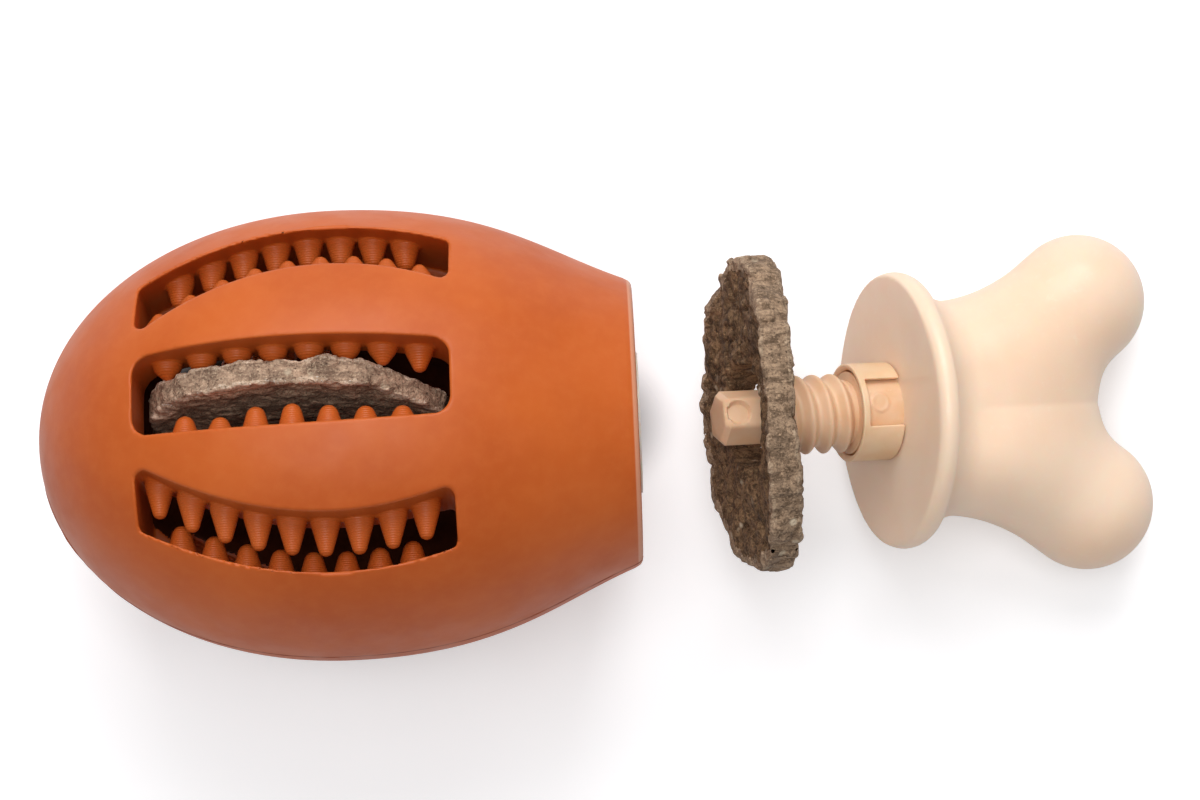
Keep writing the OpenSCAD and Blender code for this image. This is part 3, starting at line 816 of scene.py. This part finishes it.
def bone_field(points):
    """A flange, a flat neck and two knobs on arms, with s measured away from the flange's face."""
    x, y, s = points[..., 0], np.abs(points[..., 1]), -points[..., 2]
    radius = np.hypot(x, y)
    out, up = radius - FLANGE_R + RIM_R, np.abs(s - RIM_R)
    flange = np.hypot(np.maximum(out, 0), up) - RIM_R
    beside = np.maximum(y - NECK_W + NECK_T, 0)
    neck = np.sqrt(x ** 2 + beside ** 2 + np.maximum(s - NECK_TO, 0) ** 2) - NECK_T
    neck = np.maximum(neck, RIM_R - s)
    middle = np.hypot(radius, s - np.clip(s, NECK_TO, MIDDLE_TO)) - MIDDLE_R
    way_s, way_y = KNOB_AT - NECK_TO, KNOB_OFF - NECK_W + NECK_T
    t = ((s - KNOB_AT) * way_s + (y - KNOB_OFF) * way_y) / (way_s ** 2 + way_y ** 2)
    t = np.clip(t, -1, 0)
    off_s, off_y = s - KNOB_AT - t * way_s, y - KNOB_OFF - t * way_y
    arm = np.sqrt(x ** 2 + off_s ** 2 + off_y ** 2) - KNOB_R
    lobes = blend_either(blend_either(neck, middle, MIDDLE_BLEND), arm, LOBE_BLEND)
    return np.maximum(round_either(flange, lobes, NECK_FLARE), -s)


def add_bone():
    low = (-FLANGE_R - 1, -KNOB_OFF - KNOB_R - 2, -KNOB_AT - KNOB_R - 2)
    high = (FLANGE_R + 1, KNOB_OFF + KNOB_R + 2, 1.5)
    piece, _ = add_shape("bone", bone_field, low, high, BONE_STEPS, HANDLE_FROM, HANDLE_AXES)
    dress(piece, [bone_material()])
    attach(piece, "handle")
    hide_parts("bone_handle")


# Materials

class Finish:
    """A principled material whose colour, roughness and bumps are wired with short calls."""

    def __init__(self, name, **uniform):
        self.material = bpy.data.materials.new(name)
        self.material.use_nodes = True
        self.tree = self.material.node_tree
        self.shader = self.tree.nodes["Principled BSDF"]
        for key, value in uniform.items():
            self.shader.inputs[key.replace("_", " ")].default_value = value
        self.place = self.add("ShaderNodeTexCoord").outputs["Object"]

    def add(self, kind, inputs=None, **settings):
        node = self.tree.nodes.new(kind)
        for key, value in settings.items():
            setattr(node, key, value)
        for key, value in (inputs or {}).items():
            if isinstance(value, bpy.types.NodeSocket):
                self.tree.links.new(value, node.inputs[key])
            else:
                node.inputs[key].default_value = value
        return node

    def vector(self, operation, *values, output=0):
        inputs = dict(enumerate(values))
        return self.add("ShaderNodeVectorMath", inputs, operation=operation).outputs[output]

    def noise(self, size, detail, roughness=0.5, place=None, distortion=0):
        inputs = {"Vector": place or self.place, "Scale": 1 / (size * MM), "Detail": detail,
                  "Roughness": roughness, "Distortion": distortion}
        return self.add("ShaderNodeTexNoise", inputs).outputs["Fac"]

    def cells(self, size):
        inputs = {"Vector": self.place, "Scale": 1 / (size * MM)}
        return self.add("ShaderNodeTexVoronoi", inputs, feature="F1").outputs["Distance"]

    def math(self, operation, *values):
        return self.add("ShaderNodeMath", dict(enumerate(values)), operation=operation).outputs[0]

    def range(self, value, low, high, new_low=0, new_high=1):
        inputs = {"Value": value, "From Min": low, "From Max": high,
                  "To Min": new_low, "To Max": new_high}
        return self.add("ShaderNodeMapRange", inputs, interpolation_type="SMOOTHSTEP").outputs[0]

    def mix(self, share, a, b):
        node = self.add("ShaderNodeMix", {0: share}, data_type="RGBA")
        for slot, value in ((6, a), (7, b)):
            if isinstance(value, bpy.types.NodeSocket):
                self.tree.links.new(value, node.inputs[slot])
            else:
                node.inputs[slot].default_value = (*value, 1)
        return node.outputs[2]

    def along(self, axis):
        """Distance in millimetres along an axis of the shell's own frame."""
        direction = SHELL_AXES[axis]
        dot = self.vector("DOT_PRODUCT", self.place, tuple(direction), output="Value")
        return self.math("MULTIPLY_ADD", dot, 1 / MM, -float(direction @ SHELL_FROM))

    def line(self, axis, at, near, far, share, colour, under):
        """Paints a thin line over a colour, where the distance along an axis is about at."""
        off = self.math("ABSOLUTE", self.math("SUBTRACT", self.along(axis), at))
        return self.mix(self.range(off, near, far, share, 0), under, colour)

    def patches(self, size, detail, low, a, b, roughness=0.5):
        """Two colours that take turns in patches."""
        return self.mix(self.range(self.noise(size, detail, roughness), low, 0.7), a, b)

    def uneven(self, size, detail, low, high):
        """A roughness that wanders between two values."""
        return self.range(self.noise(size, detail), 0.3, 0.7, low, high)

    def bump(self, height, depth, strength, under=None):
        """depth is in millimetres."""
        inputs = {"Height": height, "Distance": depth * MM, "Strength": strength}
        if under is not None:
            inputs["Normal"] = under
        return self.add("ShaderNodeBump", inputs).outputs[0]

    def wire(self, **sockets):
        for key, value in sockets.items():
            self.tree.links.new(value, self.shader.inputs[key.replace("_", " ")])
        return self.material


def times(colour, factor):
    return tuple(min(factor * part, 0.8) for part in colour)


def rubber_colour(finish):
    colour = finish.patches(26, 3, 0.3, *RUBBER, 0.55)
    spots = finish.range(finish.noise(2.4, 3, 0.6), 0.35, 0.75, 0, 0.18)
    return finish.mix(spots, colour, RUBBER_SPOTS)


def rubber_material():
    finish = Finish("rubber", Specular_IOR_Level=0.32, Subsurface_Weight=0.05,
                    Subsurface_Scale=0.003)
    colour = finish.line(2, SEAM_LINE_AT, 0.12, 0.32, 0.55, SEAM_LINE, rubber_colour(finish))
    # Painted highlight: a pale line just inside the mouth's lip, where its rounded edge catches
    # light
    colour = finish.line(0, SHELL_LEN - LIP_HIGHLIGHT_IN, 0.25, 0.55, 0.5, LIP_PAINTED_HIGHLIGHT, colour)
    swell = finish.bump(finish.noise(9, 2, 0.4), 0.25, 0.5)
    normal = finish.bump(finish.noise(0.35, 2, 0.6), 0.02, 0.6, swell)
    return finish.wire(Base_Color=colour, Roughness=finish.uneven(7, 3, 0.40, 0.50), Normal=normal)


def tooth_material():
    """Rubber with the fine rings that the mould leaves round each tooth, a little darker as painted
    shade.
    """
    finish = Finish("rubber_teeth", Specular_IOR_Level=0.32, Subsurface_Weight=0.04,
                    Subsurface_Scale=0.002)
    # Painted shade: a third of the way to a darker rubber
    colour = finish.mix(0.35, rubber_colour(finish), RUBBER_TOOTH_SHADE)
    rings = finish.math("SINE", finish.math("MULTIPLY", finish.along(1), 2 * math.pi / 0.42))
    normal = finish.bump(rings, 0.03, 0.8, finish.bump(finish.noise(0.4, 2), 0.02, 0.5))
    return finish.wire(Base_Color=colour, Roughness=finish.uneven(3, 2, 0.40, 0.52), Normal=normal)


# The same rubber, painted near black as shade inside the hollow
def hollow_painted_shade_material():
    finish = Finish("rubber_inside_painted_shade", Specular_IOR_Level=0.25)
    colour = finish.patches(8, 3, 0.3, *RUBBER_INSIDE_PAINTED_SHADE)
    normal = finish.bump(finish.noise(0.6, 3), 0.03, 0.6)
    return finish.wire(Base_Color=colour, Roughness=finish.uneven(4, 2, 0.55, 0.7), Normal=normal)


def seam_material():
    finish = Finish("rubber_flash", Specular_IOR_Level=0.4)
    colour = finish.patches(3, 3, 0.35, *SEAM_FLASH)
    normal = finish.bump(finish.noise(0.5, 3), 0.04, 0.7)
    return finish.wire(Base_Color=colour, Roughness=finish.uneven(4, 2, 0.45, 0.6), Normal=normal)


def treat_material(name, colours):
    """Matted fibres with blotches, grains, pores and a few flecks of fat."""
    pale, dark = colours
    finish = Finish(name, Specular_IOR_Level=0.3)
    stretched = finish.vector("MULTIPLY", finish.place, (0.35, 1, 1))
    fibres = finish.noise(1.3, 5, 0.65, stretched, 0.6)
    blotches = finish.noise(5.5, 4, 0.6)
    grain = finish.noise(0.42, 3, 0.75)
    pores = finish.cells(0.75)
    colour = finish.mix(finish.range(fibres, 0.34, 0.66), dark, pale)
    colour = finish.mix(finish.range(blotches, 0.4, 0.75, 0, 0.6), colour, times(dark, 0.5))
    colour = finish.mix(finish.range(grain, 0.54, 0.68, 0, 0.6), colour, times(pale, 1.5))
    colour = finish.mix(finish.range(grain, 0.46, 0.34, 0, 0.6), colour, times(dark, 0.4))
    colour = finish.mix(finish.range(pores, 0.28, 0.1, 0, 0.5), colour, times(dark, 0.35))
    flecks = finish.range(finish.cells(3.4), 0.3, 0.12)
    flecks = finish.math("MULTIPLY", flecks, finish.range(finish.noise(9, 2), 0.52, 0.62))
    colour = finish.mix(flecks, colour, FAT)
    normal = finish.bump(finish.noise(2.2, 4, 0.65), 0.9, 0.7)
    normal = finish.bump(fibres, 0.75, 0.9, normal)
    normal = finish.bump(finish.range(pores, 0, 0.35), 0.2, 0.7, normal)
    normal = finish.bump(grain, 0.22, 0.9, normal)
    return finish.wire(Base_Color=colour, Roughness=finish.uneven(1.5, 2, 0.68, 0.9), Normal=normal)


def nylon_material(name, colour):
    finish = Finish(name, Specular_IOR_Level=0.45, Subsurface_Weight=0.2, Subsurface_Scale=0.004)
    warmer = tuple(part * factor for part, factor in zip(colour, NYLON_WARMER))
    base = finish.patches(6, 3, 0.35, colour, warmer)
    dust = finish.range(finish.noise(1.1, 4, 0.6), 0.62, 0.8, 0, 0.25)
    base = finish.mix(dust, base, NYLON_DUST)
    normal = finish.bump(finish.noise(0.3, 3), 0.015, 0.6)
    return finish.wire(Base_Color=base, Roughness=finish.uneven(2.5, 3, 0.34, 0.46), Normal=normal)


def bone_material():
    finish = Finish("bone_finish", Specular_IOR_Level=0.45, Subsurface_Weight=0.25,
                    Subsurface_Scale=0.006)
    base = finish.patches(24, 3, 0.3, *BONE)
    spots = finish.range(finish.noise(1.6, 4, 0.6), 0.55, 0.8, 0, 0.3)
    base = finish.mix(spots, base, BONE_PALE)
    swell = finish.bump(finish.noise(10, 2), 0.35, 0.5)
    normal = finish.bump(finish.noise(0.35, 3), 0.015, 0.5, swell)
    return finish.wire(Base_Color=base, Roughness=finish.uneven(5, 3, 0.30, 0.42), Normal=normal)


def dress_insert():
    """The insert keeps its own shape and gets a paler nylon than the stud's."""
    insert = frame["nodes"]["threaded_insert"]
    insert.data.materials.clear()
    dress(insert, [nylon_material("insert_finish", INSERT_NYLON)])


# Surroundings

def add_camera():
    data = bpy.data.cameras.new("camera")
    data.lens = CAMERA_LENS
    data.sensor_width = CAMERA_SENSOR
    data.clip_start = 0.01
    camera = bpy.data.objects.new("camera", data)
    place = (SHELL_FROM[0] + CAMERA_BEYOND_END, CAMERA_Y, CAMERA_UP)
    camera.location = [v * MM for v in place]
    camera.rotation_euler = (0, 0, math.radians(CAMERA_TURN))
    bpy.context.scene.collection.objects.link(camera)
    bpy.context.scene.camera = camera


def add_floor():
    """A pale floor that shows a little brighter to the camera than the light on it makes it.

    Right under the barrel, where its slots would let it shine through, a painted shadow makes it
    dark instead, and there it doesn't glow."""
    half = FLOOR_HALF
    corners = [(-half, -half, 0), (half, -half, 0), (half, half, 0), (-half, half, 0)]
    floor = add_mesh("floor", corners, [(0, 1, 2, 3)])
    finish = Finish("floor_finish", Specular_IOR_Level=0.1, Roughness=0.9,
                    Emission_Color=(1, 1, 1, 1))
    base = finish.patches(60, 2, 0.3, *FLOOR_WHITE)
    # Painted shadow: the floor turns dark, without glow, in an oval under the barrel's belly
    shade_x, shade_y = PAINTED_SHADOW_HALVES
    middle = SHELL_FROM[0] + BELLY_AT
    spot = finish.vector("MULTIPLY_ADD", finish.place, (1 / (shade_x * MM), 1 / (shade_y * MM), 0),
                         (-middle / shade_x, 0, 0))
    off_middle = finish.vector("LENGTH", spot, output="Value")
    outside_painted_shadow = finish.range(off_middle, *PAINTED_SHADOW_EDGE)
    base = finish.mix(outside_painted_shadow, FLOOR_PAINTED_SHADOW, base)
    seen = finish.add("ShaderNodeLightPath").outputs["Is Camera Ray"]
    glow = finish.math("MULTIPLY", finish.math("MULTIPLY", seen, FLOOR_GLOW), outside_painted_shadow)
    dress(floor, [finish.wire(Base_Color=base, Emission_Strength=glow)])


def add_light(name, place, size, power):
    """A square soft light that faces the toy's middle; place and size are in millimetres."""
    data = bpy.data.lights.new(name, "AREA")
    data.size = size * MM
    data.energy = power
    light = bpy.data.objects.new(name, data)
    light.location = [v * MM for v in place]
    facing = -light.location.normalized()
    light.rotation_euler = facing.to_track_quat("-Z", "Y").to_euler()
    bpy.context.scene.collection.objects.link(light)


def add_world():
    world = bpy.data.worlds.new("studio")
    world.use_nodes = True
    background = world.node_tree.nodes["Background"]
    background.inputs["Color"].default_value = (1, 1, 1, 1)
    background.inputs["Strength"].default_value = WORLD_STRENGTH
    bpy.context.scene.world = world


add_camera()
add_floor()
add_world()
add_light("window", *WINDOW_LIGHT)
add_light("overhead", *OVERHEAD_LIGHT)
bpy.context.scene.view_settings.view_transform = "Standard"

add_shell()
add_seam()
dress_insert()
add_slice()
add_ring()
add_collar()
add_stud()
add_bone()
